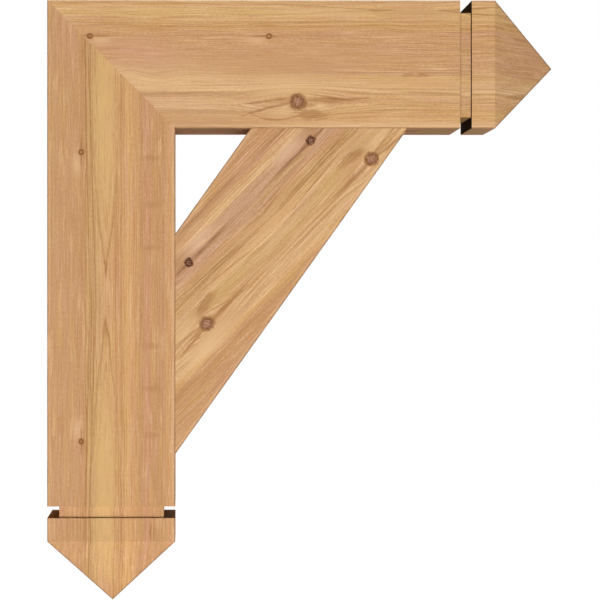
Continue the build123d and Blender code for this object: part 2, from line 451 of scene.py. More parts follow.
# One knot: tails along the grain, a pale patch beside it, a collar, dark rings, a heart crossed by bent bars
def buildKnotGroup(shape):
    noises = ["Wander", "Streak", "Fleck"]
    form = ["Depth", "Radius", "Wobble", "Ring Place", "Ring Width", "Bar Spacing", "Bar Slant"]
    tails = ["Tail Ahead", "Tail Behind", "Tail Width", "Tail Amount"]
    amounts = ["Rim Amount", "Fleck Amount", "Pale Amount"]
    tints = ["Heart Color", "Bar Color", "Ring Color", "Collar Color", "Tail Color", "Pale Color"]
    inputs = {
        "vector": ["Position", "Centre", "Pale Place"],
        "value": [*noises, *form, *tails, *amounts],
        "colour": ["Color", *tints],
    }
    tree, given, result = newGroup("cedarKnot", inputs, {"colour": ["Color"]})
    along, across, inside = addDistances(tree, given)
    radius, wobble = given["Radius"], given["Wander"]
    flat = combine(tree, X=product(tree, along, shape["squash"]), Y=across)
    away = calc(tree, "DIVIDE", vectorCalc(tree, "LENGTH", flat), radius)
    away = calc(tree, "MULTIPLY_ADD", wobble, given["Wobble"], away)

    # Pale patch first, then the tails
    beside = split(tree, given["Pale Place"])
    paleLength, paleWidth = shape["palePatch"]
    paleAlong = bell(tree, calc(tree, "SUBTRACT", along, beside["X"]), product(tree, radius, paleLength))
    paleAcross = bell(tree, calc(tree, "SUBTRACT", across, beside["Y"]), product(tree, radius, paleWidth))
    pale = product(tree, paleAlong, paleAcross, given["Pale Amount"], inside)
    colour = mixColour(tree, pale, given["Color"], given["Pale Color"])
    ahead = calc(tree, "DIVIDE", along, given["Tail Ahead"])
    behind = calc(tree, "DIVIDE", along, product(tree, given["Tail Behind"], -1.0))
    taper = calc(tree, "SUBTRACT", 1.0, calc(tree, "MAXIMUM", ahead, behind), clamp=True)
    thick = calc(tree, "MULTIPLY_ADD", taper, 1.0 - shape["tailTip"], shape["tailTip"])
    thick = product(tree, given["Tail Width"], thick)
    bent = calc(tree, "MULTIPLY_ADD", wobble, shape["tailBend"], across)
    streak = fade(tree, given["Streak"], *shape["streaks"])
    tail = product(tree, bell(tree, bent, thick), fade(tree, taper, *shape["tailFade"]))
    tail = product(tree, tail, given["Tail Amount"], streak, inside)
    colour = mixColour(tree, tail, colour, given["Tail Color"])

    # The knot over both
    collar = product(tree, fade(tree, away, *shape["collar"]), inside)
    colour = mixColour(tree, collar, colour, given["Collar Color"])
    bars = calc(tree, "MULTIPLY_ADD", across, given["Bar Slant"], along)
    bars = calc(tree, "DIVIDE", bars, given["Bar Spacing"])
    bars = calc(tree, "MULTIPLY_ADD", wobble, shape["barBend"], bars)
    bar = bell(tree, calc(tree, "SUBTRACT", calc(tree, "FRACT", bars), 0.5), shape["barWidth"])
    bar = product(tree, bar, shape["barAmount"])
    heart = mixColour(tree, bar, given["Heart Color"], given["Bar Color"])
    edge = calc(tree, "ADD", given["Ring Place"], given["Ring Width"])
    heartMask = product(tree, fade(tree, away, given["Ring Place"], edge, 1.0, 0.0), inside)
    colour = mixColour(tree, heartMask, colour, heart)
    ring = bell(tree, calc(tree, "SUBTRACT", away, given["Ring Place"]), given["Ring Width"])
    ring = product(tree, ring, shape["ringAmount"])
    rimPlace, rimWidth = shape["rim"]
    rim = product(tree, bell(tree, calc(tree, "SUBTRACT", away, rimPlace), rimWidth), given["Rim Amount"])
    rings = product(tree, calc(tree, "MAXIMUM", ring, rim), inside)
    colour = mixColour(tree, rings, colour, given["Ring Color"])
    inKnot = product(tree, fade(tree, away, *shape["fleckReach"]), given["Fleck Amount"], inside)
    dim = product(tree, fade(tree, given["Fleck"], *shape["darkFlecks"]), inKnot)
    colour = mixColour(tree, dim, colour, shape["fleckTint"])
    glint = product(tree, fade(tree, given["Fleck"], *shape["paleFlecks"]), inKnot)
    plug(tree, result["Color"], mixColour(tree, glint, colour, given["Pale Color"]))
    return tree


smudgeShape = {
    "grit": 2.0,  # how far the grit frays its outline, in shares of its size
    "streaks": (-0.15, 0.1, 0.45, 1.0),
}


# A streaky smudge of another tint, slanted against the grain or bent to a crescent where asked
def buildSmudgeGroup(shape):
    values = ["Grit", "Streak", "Depth", "Length", "Width", "Slope", "Bend", "Softness", "Amount"]
    inputs = {"vector": ["Position", "Centre"], "value": values, "colour": ["Color", "Tint"]}
    tree, given, result = newGroup("cedarSmudge", inputs, {"colour": ["Color"]})
    along, across, inside = addDistances(tree, given)
    drop = calc(tree, "MULTIPLY_ADD", along, given["Bend"], given["Slope"])
    across = calc(tree, "SUBTRACT", across, product(tree, along, drop))
    alongShare = calc(tree, "DIVIDE", along, given["Length"])
    acrossShare = calc(tree, "DIVIDE", across, given["Width"])
    squares = calc(tree, "MULTIPLY_ADD", alongShare, alongShare, product(tree, acrossShare, acrossShare))
    reach = calc(tree, "MULTIPLY_ADD", given["Grit"], shape["grit"], calc(tree, "SQRT", squares))
    streak = fade(tree, given["Streak"], *shape["streaks"])
    start = calc(tree, "ADD", 1.0, given["Softness"])
    end = calc(tree, "SUBTRACT", 1.0, given["Softness"])
    mask = product(tree, fade(tree, reach, start, end), given["Amount"], streak, inside)
    plug(tree, result["Color"], mixColour(tree, mask, given["Color"], given["Tint"]))
    return tree


# Lines of an eye. Rim and outwards are shares of the way from its middle to its rim, tips are shares of its
# half length, and rise and drop are shares of the distance between two lines.
eyeShape = {
    "wave": 5.0,  # millimetres that its lines wander
    "roundness": 0.5,  # square millimetres that round the lines off on the long axis
    "rise": (0.35, 0.85),
    "drop": (0.88, 1.0, 1.0, 0.0),
    "rim": (0.99, 1.03, 1.0, 0.0),
    "outwards": (0.1, 0.95, 0.3, 1.0),
    "towardsTips": (0.3, 0.85),
    "streaks": (-0.15, 0.08, 0.45, 1.0),
    "tips": (0.89, 0.96),
    "tipAmount": 0.8,
}


# A long pointed eye of nested rings, brown at its tips, where the growth rings graze the face
def buildEyeGroup(shape):
    values = ["Wave", "Streak", "Depth", "Reach Along", "Reach Across", "Rings", "Far Strength", "Amount"]
    tints = ["Color", "Line Color", "Tip Color"]
    inputs = {"vector": ["Position", "Centre"], "value": values, "colour": tints}
    tree, given, result = newGroup("cedarEye", inputs, {"colour": ["Color"]})
    along, across, inside = addDistances(tree, given)
    across = calc(tree, "MULTIPLY_ADD", given["Wave"], shape["wave"], across)
    along = calc(tree, "DIVIDE", along, given["Reach Along"])
    squared = calc(tree, "MULTIPLY_ADD", across, across, shape["roundness"])
    across = calc(tree, "DIVIDE", calc(tree, "SQRT", squared), given["Reach Across"])
    spread = calc(tree, "MULTIPLY_ADD", along, along, across)
    part = calc(tree, "FRACT", product(tree, spread, given["Rings"]))
    line = product(tree, fade(tree, part, *shape["rise"]), fade(tree, part, *shape["drop"]))
    within = product(tree, fade(tree, spread, *shape["rim"]), inside)
    nearTip = absolute(tree, along)
    strong = fade(tree, nearTip, *shape["towardsTips"], given["Far Strength"], 1.0)
    strong = product(tree, fade(tree, spread, *shape["outwards"]), strong)
    strong = product(tree, strong, given["Amount"], fade(tree, given["Streak"], *shape["streaks"]))
    tip = product(tree, fade(tree, nearTip, *shape["tips"]), within, given["Amount"], shape["tipAmount"])
    colour = mixColour(tree, tip, given["Color"], given["Tip Color"])
    line = product(tree, line, within, strong)
    plug(tree, result["Color"], mixColour(tree, line, colour, given["Line Color"]))
    return tree


# What saw and plane left, with painted shade and painted highlights, in millimetres and shares
cutShape = {
    "margin": 0.4,  # the groove's faces are taken this much wider
    "sunk": 1.0,  # a neck lies at least this far below the timber's faces
    "slantNormal": 0.1,  # least share of a face's normal along the grain on a slanted face
    "endNormal": 0.9,  # and on end grain
    "ridge": (1.1, 0.7),  # width and amount of the painted shade line along a point's ridges
    "edgeBreakup": {"size": (34, 4, 4), "offset": 5.0},
    "edgeBreakupFade": (0.3, 0.6, 0.3, 1.0),
    "highlightLine": (2.6, 0.8, 0.4),  # painted highlight line: distance from a long edge, width and amount
    "eased": (1.5, 0.5, 0.6),  # painted shade on the eased edges: start and end, from a long edge, and amount
    "sawn": {"size": (1.2, 9, 1.2), "offset": 2.0},
    "sawnFade": (0.3, 0.75, 0.75, 1.5),
}


# End grain in the groove, darkened with painted shade, and the neck in it painted lighter. A point painted
# lighter, with painted shade along its ridges. Eased long edges with painted shade on them and a painted
# highlight line beside them.
# The first edges, where the edge position's Y is negative, have a colour of their own.
def buildCutGroup(shape):
    tints = ["Shaded End Grain Color", "Edge Color", "Ridge Shade Color", "First Edge Shading Color"]
    limits = ["Groove Start", "Groove End", "Point Start"]
    values = ["Normal Along", *limits, "Neck Painted Light", "Point Painted Light"]
    inputs = {"vector": ["Position", "Edge Position"], "value": values, "colour": ["Color", *tints]}
    tree, given, result = newGroup("cedarCut", inputs, {"colour": ["Color"], "value": ["End Grain"]})
    along = split(tree, given["Position"])["X"]
    edge = split(tree, given["Edge Position"])
    fromMiddle = absolute(tree, edge["Y"]), absolute(tree, edge["Z"])
    outwards = calc(tree, "MAXIMUM", *fromMiddle)
    nearEdge = calc(tree, "MINIMUM", *fromMiddle)
    start = calc(tree, "SUBTRACT", given["Groove Start"], shape["margin"])
    end = calc(tree, "ADD", given["Groove End"], shape["margin"])
    inGroove = product(tree, calc(tree, "GREATER_THAN", along, start), calc(tree, "LESS_THAN", along, end))
    cross = absolute(tree, given["Normal Along"])
    slanted = calc(tree, "GREATER_THAN", cross, shape["slantNormal"])
    endGrain = product(tree, inGroove, calc(tree, "GREATER_THAN", cross, shape["endNormal"]))
    sunk = calc(tree, "LESS_THAN", outwards, halfDepth - shape["sunk"])
    neck = product(tree, inGroove, calc(tree, "LESS_THAN", cross, shape["slantNormal"]), sunk)
    point = product(tree, calc(tree, "GREATER_THAN", along, given["Point Start"]), slanted)
    # Neck and point painted lighter: partly paler sawn wood, mostly painted light against the shade in the
    # groove and on facets turned from the lamp
    light = calc(tree, "MULTIPLY_ADD", neck, calc(tree, "SUBTRACT", given["Neck Painted Light"], 1.0), 1.0)
    light = calc(tree, "MULTIPLY_ADD", point, calc(tree, "SUBTRACT", given["Point Painted Light"], 1.0), light)
    colour = mixColour(tree, 1.0, given["Color"], light, "MULTIPLY")
    # Painted shade: a dark line along the point's ridges
    ridgeWidth, ridgeAmount = shape["ridge"]
    offRidge = calc(tree, "SUBTRACT", *fromMiddle)
    ridge = product(tree, bell(tree, offRidge, ridgeWidth), point, ridgeAmount)
    colour = mixColour(tree, ridge, colour, given["Ridge Shade Color"])
    # Noise that breaks the painted edge shade and highlight up along their length
    edgeBreakupMask = fade(tree, grainNoise(tree, given["Position"], **shape["edgeBreakup"]), *shape["edgeBreakupFade"])
    # Painted highlight: a pale line beside each long edge
    distance, lineWidth, lineAmount = shape["highlightLine"]
    beside = bell(tree, calc(tree, "SUBTRACT", nearEdge, halfDepth - distance), lineWidth)
    colour = mixColour(tree, product(tree, beside, edgeBreakupMask, lineAmount), colour, given["Edge Color"])
    # Painted shade on the eased long edges, with the first edges in a colour of their own
    easedStart, easedEnd, easedAmount = shape["eased"]
    eased = fade(tree, nearEdge, halfDepth - easedStart, halfDepth - easedEnd)
    first = calc(tree, "LESS_THAN", edge["Y"], 0.0)
    easedShadingColour = mixColour(tree, first, given["Ridge Shade Color"], given["First Edge Shading Color"])
    colour = mixColour(tree, product(tree, eased, edgeBreakupMask, easedAmount), colour, easedShadingColour)
    # Groove walls: the end grain's own darker colour, darkened further with painted shade
    sawn = fade(tree, grainNoise(tree, given["Position"], **shape["sawn"]), *shape["sawnFade"])
    dark = mixColour(tree, 1.0, given["Shaded End Grain Color"], sawn, "MULTIPLY")
    plug(tree, result["Color"], mixColour(tree, endGrain, colour, dark))
    plug(tree, result["End Grain"], endGrain)
    return tree


cedarGrain = buildGrainGroup(ringValues)
cedarNoises = buildNoiseGroup(sharedNoises)
cedarFlow = buildFlowGroup()
cedarKnot = buildKnotGroup(knotShape)
cedarSmudge = buildSmudgeGroup(smudgeShape)
cedarEye = buildEyeGroup(eyeShape)
cedarCut = buildCutGroup(cutShape)
print("wood groups built")

# Tints that the wood is mixed from
cedarTints = {
    "cream": (224, 181, 133),
    "honey": (216, 171, 120),
    "gold": (214, 167, 112),
    "straw": (219, 178, 118),
    "amber": (207, 157, 108),
    "tan": (206, 158, 114),
    "rose": (201, 150, 111),
    "blush": (200, 156, 121),
    "line": (160, 108, 64),
    "bright": (234, 194, 147),
    "smudge": (170, 122, 76),
    "faint": (180, 132, 88),
    "moss": (203, 161, 110),
    "umber": (186, 141, 101),
    "pale": (225, 187, 156),
    "wheat": (199, 152, 109),
    "sienna": (197, 149, 104),
    "pink": (209, 157, 127),
    "olive": (208, 166, 102),
    "brown": (158, 104, 64),
    # Painted highlight beside the long edges
    "edge": (232, 192, 150),
    # Painted shade on a point's ridges and on the eased long edges
    "ridge": (118, 84, 56),
}


def tint(name):
    return screenColour(*cedarTints[name])


# Kinds of knot: what they share in size, in millimetres and in radii, and in colour
knotKinds = {
    "pin": {
        "Radius": 3.3,
        "Wobble": 0.35,
        "Ring Place": 0.6,
        "Ring Width": 0.27,
        "Rim Amount": 0,
        "Bar Spacing": 9,
        "Bar Slant": 0,
        "Fleck Amount": 0.4,
        "Tail Width": 0.75,
        "Heart Color": screenColour(204, 150, 102),
        "Bar Color": screenColour(196, 140, 92),
        "Ring Color": screenColour(122, 75, 38),
        "Collar Color": screenColour(190, 136, 90),
        "Tail Color": screenColour(146, 94, 52),
        "Pale Color": screenColour(232, 188, 146),
    },
    "sound": {
        "Radius": 8.6,
        "Wobble": 0.7,
        "Ring Place": 0.66,
        "Ring Width": 0.17,
        "Rim Amount": 0.4,
        "Bar Spacing": 4,
        "Bar Slant": 0.2,
        "Fleck Amount": 0.7,
        "Tail Width": 2.2,
        "Heart Color": screenColour(186, 138, 110),
        "Bar Color": screenColour(150, 104, 78),
        "Ring Color": screenColour(138, 92, 60),
        "Collar Color": screenColour(164, 116, 74),
        "Tail Color": screenColour(170, 120, 74),
        "Pale Color": screenColour(228, 188, 138),
    },
    "dark": {
        "Radius": 4.8,
        "Wobble": 1.15,
        "Ring Place": 0.72,
        "Ring Width": 0.2,
        "Rim Amount": 0,
        "Bar Spacing": 3.1,
        "Bar Slant": 0.7,
        "Fleck Amount": 0.9,
        "Tail Width": 1.6,
        "Heart Color": screenColour(104, 62, 44),
        "Bar Color": screenColour(170, 128, 104),
        "Ring Color": screenColour(84, 44, 28),
        "Collar Color": screenColour(146, 102, 74),
        "Tail Color": screenColour(144, 100, 72),
        "Pale Color": screenColour(222, 184, 150),
    },
}
featureDepths = {"knot": 45, "smudge": 60, "eye": 110}  # millimetres that each goes into the wood


# The rows of the tables below. Each gives the faces that a feature is on and the inputs of its group.
# Every centre is (along, across, into the wood), in millimetres from the timber's own corner. On a side face
# it is (along, into the wood, across). A mirrored one counts along from the mirror line, both ways.
def flow(centre, reach, push, depth, swell=0.0, on="front"):
    shape = {"Reach Along": reach[0], "Reach Across": reach[1], "Push": push, "Swell": swell}
    return on, {"Centre": centre, "Depth": depth, **shape}


def eye(centre, reach, rings, farStrength, amount, on="front"):
    shape = {"Reach Along": reach[0], "Reach Across": reach[1], "Rings": rings, "Far Strength": farStrength}
    tints = {"Line Color": tint("line"), "Tip Color": tint("brown")}
    return on, {"Centre": centre, "Depth": featureDepths["eye"], "Amount": amount, **shape, **tints}


def smudge(name, centre, size, amount, on="front", softness=0.4, slope=0.0, bend=0.0):
    shape = {"Length": size[0], "Width": size[1], "Softness": softness, "Slope": slope, "Bend": bend}
    paint = {"Tint": tint(name), "Amount": amount}
    return on, {"Centre": centre, "Depth": featureDepths["smudge"], **shape, **paint}


# Tails are length ahead, length behind and amount. Pale is the place of the patch beside the knot and amount.
def knot(kind, centre, tails, pale, on="front", changes=None):
    shape = {**knotKinds[kind], "Centre": centre, "Depth": featureDepths["knot"]}
    shape.update(zip(("Tail Ahead", "Tail Behind", "Tail Amount"), tails))
    shape.update(zip(("Pale Place", "Pale Amount"), pale))
    shape.update(changes or {})
    return on, shape


# Grain is the frame that the wood is measured in, and box the one that its four long edges belong to.
# Pith is the distance across and into the wood to the tree's middle, and the side that it lies on.
# Bands are tints, lines are strengths of dark and bright lines, and marked are single lines with their
# half width and strength. All three go by the distance across the front face.
beamWood = {
    "grain": {"along": (1, 0, 0), "across": (0, 0, -1), "start": (0, 0)},
    "box": {"along": (1, 0, 0), "across": (0, 0, -1), "start": (0, halfDepth)},
    "width": 165,
    "pith": (-330, 48, 1),
    "ringSpacing": 3.3,
    "fibre": 0.7,
    "cuts": {
        "Groove Start": 450.85,
        "Groove End": 463.55,
        "Point Start": 488.95,
        # Neck and point painted lighter: partly paler sawn wood, mostly painted light
        "Neck Painted Light": 1.12,
        "Point Painted Light": 1.12,
        # Groove walls: dark end grain with painted shade
        "Shaded End Grain Color": screenColour(46, 30, 14),
        # Painted highlight along the beam's top edges
        "First Edge Shading Color": screenColour(250, 212, 164),
    },
    "bands": [
        (0, "gold"), (6, "honey"), (13, "straw"), (20, "honey"), (28, "gold"), (36, "tan"), (50, "tan"),
        (78, "tan"), (84, "honey"), (91, "cream"), (99, "cream"), (106, "honey"), (113, "honey"),
        (122, "gold"), (134, "honey"), (145, "tan"), (165, "rose"),
    ],
    "lines": [
        (0, 0.6, 0.2), (6, 0.3, 0.5), (20, 0.4, 0.3), (26, 0.8, 0.1), (36, 0.5, 0.1), (52, 0.4, 0.15),
        (66, 0.4, 0.3), (74, 0.5, 0.9), (94, 0.8, 1), (102, 0.8, 0.6), (116, 0.7, 0.6), (160, 0.6, 0.4),
    ],
    "marked": [
        (2.6, 0.9, 0.7), (24, 0.8, 0.6), (28.4, 0.8, 0.65), (32.4, 0.7, 0.45), (70.5, 0.8, 0.4),
        (88.5, 0.7, 0.45), (92.5, 0.6, 0.35), (97, 0.7, 0.5), (103, 0.9, 0.5), (108.5, 0.7, 0.4),
        (113.5, 0.7, 0.45), (120, 0.8, 0.5), (126.5, 0.7, 0.4), (131.5, 0.8, 0.45),
    ],
    "mirror": 144.2,
    "flows": [
        flow((273.4, 110.9, 0), (40, 10), 13, 60),
        flow((97.7, 39.3, 0), (13, 4), 3, 30, on="mirrored"),
        flow((150, 84, 0), (60, 14), -4, 60),
        flow((92, 82, 0), (11, 9), 0, 60, swell=3),
        flow((118, 86, 0), (12, 9), 0, 60, swell=-2.5),
        flow((150, 82, 0), (14, 9), 0, 60, swell=2.5),
        flow((196, 92, 139.7), (30, 10), 9, 40),
        flow((176, 78, 0), (34, 17), 0, 40, swell=8, on="side"),
    ],
    "eyes": [
        eye((90, 10.5, 0), (300, 9), rings=2, farStrength=0.2, amount=0.7),
        eye((618, 12, 0), (200, 9), rings=2, farStrength=0.3, amount=0.7),
    ],
    "knots": [
        knot("pin", (97.7, 39.3, 0), (14, 30, 0.8), ((-13, 4.5, 0), 0.5), "mirrored"),
        knot("sound", (273.4, 110.9, 0), (90, 52, 0.6), ((-14, -17, 0), 0.5)),
        knot("pin", (352, 44, 139.7), (26, 22, 0.8), ((13, 4, 0), 0.5)),
        knot("sound", (196, 92, 139.7), (70, 80, 0.6), ((16, 12, 0), 0.4)),
        knot("sound", (176, 78, 0), (50, 60, 0.5), ((-18, 9, 0), 0.4), "side"),
    ],
    "smudges": [
        smudge("smudge", (394, 81.5, 0), (7, 2.2), 0.6, bend=0.02),
        smudge("smudge", (410, 81.5, 0), (7, 2.2), 0.6, bend=0.02),
        smudge("bright", (110, 84, 0), (95, 16), 0.4, softness=0.8),
        smudge("pale", (165, 118, 0), (100, 12), 0.35, softness=0.8),
        smudge("wheat", (255, 69, 0), (110, 14), 0.7, softness=0.8),
        smudge("gold", (402, 92, 0), (60, 6), 0.6, softness=0.7),
        smudge("umber", (110, 102.5, 0), (120, 2.8), 0.8),
        smudge("umber", (130, 122, 0), (110, 2.4), 0.7),
        smudge("wheat", (150, 134, 0), (130, 9), 0.9, softness=0.6),
        smudge("pink", (100, 57, 0), (36, 13), 0.6, softness=0.8),
        smudge("cream", (380, 138, 0), (130, 6), 0.9, softness=0.6),
        smudge("cream", (300, 13, 0), (50, 5), 0.6, softness=0.7),
        smudge("wheat", (405, 13, 0), (40, 7), 0.7, softness=0.7),
        smudge("cream", (257, 122, 0), (13, 6.5), 0.6, softness=0.7),
        smudge("bright", (299, 117, 0), (10, 3.2), 0.5, softness=0.7),
        smudge("smudge", (288, 125, 0), (17, 5.5), 0.85, slope=0.06),
        smudge("smudge", (306, 108.5, 0), (26, 2.6), 0.75, softness=0.6),
        smudge("line", (322, 107.5, 0), (34, 1.1), 0.75, bend=-0.001),
        smudge("line", (243, 117, 0), (28, 1.4), 0.75, slope=-0.25, bend=0.002),
        smudge("line", (243, 109.5, 0), (28, 1.3), 0.75, slope=-0.13),
        smudge("smudge", (250, 130.5, 0), (27, 1.1), 0.7, bend=-0.008),
        smudge("smudge", (517, 103.5, 0), (12, 2.6), 0.7, slope=-0.1),
        # Painted light and painted shade on the underside: lighter between post and brace, against their
        # shade, and darker beyond the brace
        smudge("pale", (195, 66, 139.7), (90, 100), 0.6, "side", softness=0.6),
        smudge("line", (430, 66, 139.7), (60, 100), 0.45, "side", softness=0.6),
    ],
}
postWood = {
    "grain": {"along": (0, 0, -1), "across": (1, 0, 0), "start": (0, 0)},
    "box": {"along": (0, 0, -1), "across": (1, 0, 0), "start": (0, halfDepth)},
    "width": 165,
    "pith": (470, 52, -1),
    "ringSpacing": 3.5,
    "fibre": 0.58,
    "cuts": {
        "Groove Start": 552.45,
        "Groove End": 565.15,
        "Point Start": 590.55,
        # Neck and point painted lighter: partly paler sawn wood, mostly painted light
        "Neck Painted Light": 1.24,
        "Point Painted Light": 1.34,
        # Groove walls: dark end grain with painted shade
        "Shaded End Grain Color": screenColour(118, 76, 34),
        # Painted shade along the post's left edges, like its other edges
        "First Edge Shading Color": tint("ridge"),
    },
    "bands": [
        (0, "sienna"), (6, "wheat"), (31, "wheat"), (38, "sienna"), (46, "moss"), (53, "moss"),
        (60, "tan"), (78, "amber"), (88, "gold"), (95, "amber"), (101, "sienna"), (108, "rose"),
        (116, "sienna"), (123, "sienna"), (127, "wheat"), (132, "amber"), (138, "tan"), (150, "tan"),
        (165, "rose"),
    ],
    "lines": [
        (0, 0.15, 0.1), (30, 0.2, 0.1), (40, 0.65, 0.2), (54, 0.6, 0.5), (58, 0.4, 0.6), (70, 0.4, 0.6),
        (76, 0.8, 0.4), (88, 0.7, 0.5), (98, 0.3, 0.3), (124, 0.25, 0.1), (140, 0.4, 0.1),
        (165, 0.5, 0.1),
    ],
    "marked": [
        (38, 0.7, 0.25), (42, 0.7, 0.8), (47, 0.8, 0.95), (51.5, 0.6, 0.5), (73.5, 0.8, 0.85),
        (80.5, 0.8, 0.6), (103, 0.6, 0.3), (124.5, 0.7, 0.35),
    ],
    "mirror": 323.7,
    "flows": [
        flow((157.8, 37.1, 0), (14, 4), 3, 30, on="mirrored"),
        flow((330, 88, 139.7), (32, 10), 10, 40),
        flow((206, 56, 0), (36, 16), 0, 40, swell=8, on="side"),
    ],
    "eyes": [
        eye((258, 64, 0), (240, 18.5), rings=3, farStrength=0.4, amount=0.75, on="mirrored"),
    ],
    "knots": [
        knot("pin", (157.8, 37.1, 0), (24, 22, 0.85), ((-13, -4.5, 0), 0.55), "mirrored"),
        knot("sound", (330, 88, 139.7), (90, 60, 0.6), ((18, -12, 0), 0.4)),
        knot("pin", (512, 40, 139.7), (24, 24, 0.8), ((-12, 4, 0), 0.5)),
        knot("sound", (206, 56, 0), (60, 70, 0.5), ((20, 9, 0), 0.4), "side"),
    ],
    "smudges": [
        smudge("line", (580, 112.8, 0), (10, 0.9), 0.85),
        smudge("line", (583, 116.4, 0), (8, 0.8), 0.7),
        smudge("line", (170, 43, 0), (150, 0.8), 0.7, "mirrored", slope=-0.02),
        smudge("line", (150, 48.5, 0), (170, 0.9), 0.7, "mirrored", slope=-0.03),
        smudge("straw", (200, 63, 0), (120, 12), 0.9, "mirrored", softness=0.8),
        *[
            smudge("faint", (along, 114, 0), (3.2, 9), 0.6, "mirrored", softness=0.6)
            for along in (151.5, 100.5, 53.5)
        ],
    ],
}

# The brace has no groove and no point, so these lie out of reach. Its edges run steeper than its grain.
braceWood = {
    "grain": {"along": (1, 0, 1), "across": (1, 0, -1), "start": (0, 255.8)},
    "box": {"along": (1, 0, 1.4), "across": (1.4, 0, -1), "start": (0, 331.7)},
    "width": 215,
    "pith": (-300, 40, 1),
    "ringSpacing": 2.7,
    "fibre": 0.75,
    "cuts": {
        "Groove Start": farAway,
        "Groove End": farAway,
        "Point Start": farAway,
        "Neck Painted Light": 1,
        "Point Painted Light": 1,
        # End grain darkened with painted shade
        "Shaded End Grain Color": screenColour(82, 51, 27),
        # Painted shade along the brace's first edges, like its other edges
        "First Edge Shading Color": tint("ridge"),
    },
    "bands": [
        (0, "wheat"), (9, "sienna"), (20, "tan"), (26, "umber"), (31, "tan"), (39, "cream"),
        (46, "blush"), (62, "blush"), (69, "tan"), (75, "moss"), (81, "moss"), (88, "honey"),
        (94, "cream"), (99, "moss"), (105, "moss"), (118, "honey"), (126, "cream"), (135, "cream"),
        (140, "gold"), (147, "sienna"), (154, "sienna"), (168, "wheat"), (190, "tan"),
    ],
    "lines": [
        (0, 0.6, 0.3), (16, 0.6, 0.4), (26, 0.9, 0.4), (34, 0.6, 0.8), (42, 0.4, 0.4), (50, 0.3, 0.1),
        (66, 0.5, 0.1), (72, 0.9, 0.3), (82, 0.7, 0.5), (90, 0.4, 0.3), (102, 0.6, 0.4),
        (112, 0.6, 0.4), (120, 0.9, 0.9), (132, 0.8, 0.8), (142, 0.3, 0.3), (165, 0.4, 0.2),
        (210, 0.4, 0.2),
    ],
    "marked": [
        (25.5, 1.3, 0.6), (29.5, 0.8, 0.4), (36, 0.7, 0.4), (68.5, 0.8, 0.6), (73.5, 0.9, 0.65),
        (77.8, 0.8, 0.75), (82, 0.8, 0.8), (86, 0.7, 0.6), (98, 0.7, 0.4), (120, 0.9, 0.7),
        (124.5, 0.8, 0.9), (129, 0.8, 0.85), (133, 0.7, 0.7), (150, 0.8, 0.4),
    ],
    "mirror": 0.6,
    "flows": [
        flow((93.6, 56, 0), (18, 6), 6, 40, on="mirrored"),
        flow((127.1, 117, 0), (26, 9), 10, 50, on="mirrored"),
        flow((0.6, 72, 0), (42, 9), 0, 90, swell=-4.5),
        flow((0.6, 104, 0), (34, 9), 0, 90, swell=-3),
        flow((24, 92, 139.7), (26, 9), 9, 40),
        flow((-30, 60, 190), (30, 15), 0, 90, swell=8, on="side"),
    ],
    "eyes": [],
    "knots": [
        knot("dark", (94.3, 55.8, 0), (30, 84, 0.95), ((-22, -9, 0), 0.3), "mirrored"),
        knot(
            "sound", (127.1, 117, 0), (50, 90, 0.75), ((16, 18, 0), 0.45), "mirrored",
            changes={"Radius": 7.8, "Bar Slant": 0.5},
        ),
        knot("dark", (-84, 62, 139.7), (60, 40, 0.7), ((16, -8, 0), 0.5)),
        knot("sound", (24, 92, 139.7), (70, 70, 0.6), ((-16, 12, 0), 0.4)),
        knot(
            "sound", (-30, 60, 190), (60, 60, 0.5), ((18, 9, 0), 0.4), "side",
            changes={"Depth": 90},
        ),
    ],
    "smudges": [
        smudge("smudge", (113, 100, 0), (16, 5), 0.9, "mirrored", slope=0.18, bend=0.008),
        smudge("olive", (84, 104, 0), (22, 7), 0.4, "mirrored", softness=0.7),
        smudge("honey", (0.6, 85, 0), (46, 8), 0.8, softness=0.7),
        smudge("smudge", (98, 118.5, 0), (26, 2), 0.9, "mirrored", bend=0.0008),
        smudge("smudge", (60, 57.5, 0), (38, 1.6), 0.75, "mirrored", softness=0.6),
        smudge("line", (152, 112, 0), (20, 1.5), 0.8, "mirrored", slope=-0.12),
        smudge("line", (152, 121, 0), (20, 1.5), 0.8, "mirrored", slope=0.1),
        smudge("bright", (-134, 134, 0), (30, 8), 0.45, softness=0.7),
        smudge("pale", (68, 46, 0), (18, 6.5), 0.5, "mirrored", softness=0.7),
        smudge("faint", (118, 46, 0), (27, 12), 0.85, "mirrored", softness=0.7),
        smudge("bright", (151, 106, 0), (18, 6), 0.6, "mirrored", softness=0.7),
        smudge("umber", (124, 91.5, 0), (28, 3.5), 0.45, "mirrored", softness=0.7),
        smudge("bright", (92, 123, 0), (24, 2.5), 0.4, "mirrored", softness=0.7),
        smudge("bright", (5, 105, 0), (52, 4), 0.4, softness=0.7),
        smudge("tan", (-114, 132, 0), (28, 8), 0.6, softness=0.7),
        smudge("line", (68, 80, 0), (62, 0.8), 0.7, "mirrored", slope=-0.06),
        smudge("line", (64, 83, 0), (60, 0.8), 0.7, "mirrored", slope=-0.045),
        smudge("line", (72, 90.6, 0), (38, 0.9), 0.6, "mirrored", slope=-0.1),
        smudge("smudge", (10, 74.4, 0), (16, 1.1), 0.75, "mirrored", slope=-0.1),
    ],
}


